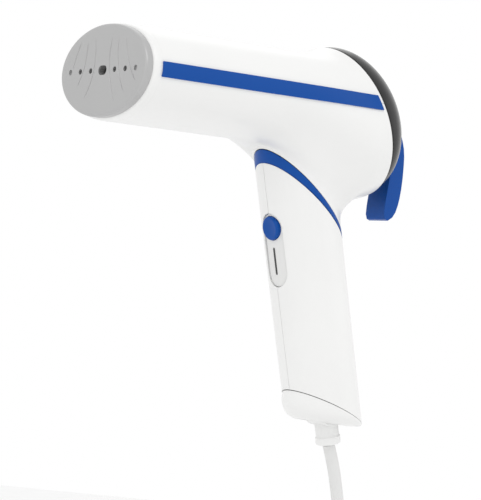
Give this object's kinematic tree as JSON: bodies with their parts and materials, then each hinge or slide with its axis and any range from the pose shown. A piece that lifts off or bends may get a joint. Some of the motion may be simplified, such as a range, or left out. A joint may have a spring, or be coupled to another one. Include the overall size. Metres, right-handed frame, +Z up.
{
  "type": "garment steamer",
  "caption": "Foldable hand-held garment steamer: oval steam head, oblique swivel ring, slim handle with steam button, rear water tank and tied mains cord.",
  "frame": {"origin": "middle of the hand grip, on the handle's own axis", "axes": "-X out of the steam plate's face, +X to the water tank, Y from side to side, +Z up through the barrel"},
  "size_m": [0.2015, 0.0852, 0.5063],
  "materials": {
    "white_shell": "moulded white ABS, satin gloss",
    "panel_white": "moulded pale panel",
    "blue_trim": "moulded blue plastic",
    "screw_steel": "zinc-plated steel",
    "plate_metal": "grey coated aluminium plate",
    "silicone": "pale silicone",
    "cast_aluminium": "die-cast aluminium",
    "element_steel": "sheathed steel",
    "white_ceramic": "ceramic",
    "black_plastic": "black nylon",
    "wire_sleeve": "glass-fibre sleeve",
    "seal_rubber": "black rubber",
    "smoke_tank": "smoked translucent plastic",
    "lens_dark": "smoked lens",
    "board_green": "glass-epoxy board",
    "cord_white": "PVC sheath",
    "tie_black": "hook and loop strap",
    "plug_white": "moulded PVC",
    "pin_brass": "nickel-plated brass"
  },
  "bodies": {
    "handle": {"swivel_spigot": "black_plastic", "retaining_ring": "screw_steel", "friction_washer": "seal_rubber", "handle_left": "white_shell", "handle_right": "white_shell", "handle_screws": "screw_steel", "front_panel": "panel_white", "led_lens": "lens_dark", "micro_switch": "black_plastic", "control_board": "board_green", "board_parts": "black_plastic", "handle_harness": "wire_sleeve", "cord_clamp": "black_plastic", "inner_cord": "cord_white", "foot_cap": "white_shell", "guard_pin": "screw_steel"},
    "head": {"upper_shell": "white_shell", "lower_shell": "white_shell", "front_collar": "white_shell", "stripe_left": "blue_trim", "stripe_right": "blue_trim", "shell_screws": "screw_steel", "steam_plate": "plate_metal", "plate_gasket": "silicone", "boiler_block": "cast_aluminium", "boiler_lid": "cast_aluminium", "heating_element": "element_steel", "thermostat": "element_steel", "thermal_fuse": "white_ceramic", "pump_body": "black_plastic", "pump_spring": "screw_steel", "boiler_hose": "silicone", "tank_hose": "silicone", "head_harness": "wire_sleeve", "tank_dock": "black_plastic", "dock_seal": "seal_rubber", "dock_pin": "black_plastic", "swivel_ring": "blue_trim", "swivel_hub": "black_plastic"},
    "tank": {"water_tank": "smoke_tank", "tank_front": "smoke_tank", "cap_pin": "screw_steel"},
    "cap": {"filler_cap": "blue_trim", "filler_plug": "seal_rubber"},
    "valve": {"tank_valve": "seal_rubber"},
    "plunger": {"pump_plunger": "element_steel"},
    "button": {"steam_button": "blue_trim"},
    "actuator": {"switch_actuator": "black_plastic"},
    "cord": {"cord_guard": "white_shell", "cord_tube": "cord_white", "cord_hank": "cord_white", "cord_tie": "tie_black", "cord_tail": "cord_white", "plug_body": "plug_white", "plug_pins": "pin_brass"}
  },
  "joints": [
    {"name": "fold", "type": "hinge", "parent": "handle", "child": "head", "pos_m": [-0.01688, 0, 0.05966], "axis": [0.5779, 0, 0.8161], "range_deg": [0, 180]},
    {"name": "tank_slide", "type": "slide", "parent": "head", "child": "tank", "axis": [0.9048, 0, 0.4258], "range_m": [0, 0.06]},
    {"name": "cap_hinge", "type": "hinge", "parent": "tank", "child": "cap", "pos_m": [0.03471, 0, 0.11332], "axis": [0, -1, 0], "range_deg": [0, 70]},
    {"name": "valve_slide", "type": "slide", "parent": "tank", "child": "valve", "axis": [0.9048, 0, 0.4258], "range_m": [0, 0.0015], "stiffness_N_per_m": 200, "springref_m": -0.002},
    {"name": "pump_stroke", "type": "slide", "parent": "head", "child": "plunger", "axis": [1, 0, 0], "range_m": [0, 0.003], "stiffness_N_per_m": 150, "springref_m": -0.002, "deforming": ["pump_spring"]},
    {"name": "button_press", "type": "slide", "parent": "handle", "child": "button", "axis": [0.9622, 0, 0.2723], "range_m": [0, 0.0015], "stiffness_N_per_m": 800, "springref_m": -0.001},
    {"name": "switch_press", "type": "slide", "parent": "handle", "child": "actuator", "axis": [0.9622, 0, 0.2723], "range_m": [0, 0.0015]},
    {"name": "cord_pivot", "type": "hinge", "parent": "handle", "child": "cord", "pos_m": [0.01507, 0, -0.04739], "axis": [0, 1, 0], "range_deg": [-25, 25]}
  ],
  "couplings": [
    {"joint": "switch_press", "follows": "button_press", "ratio": 1}
  ]
}
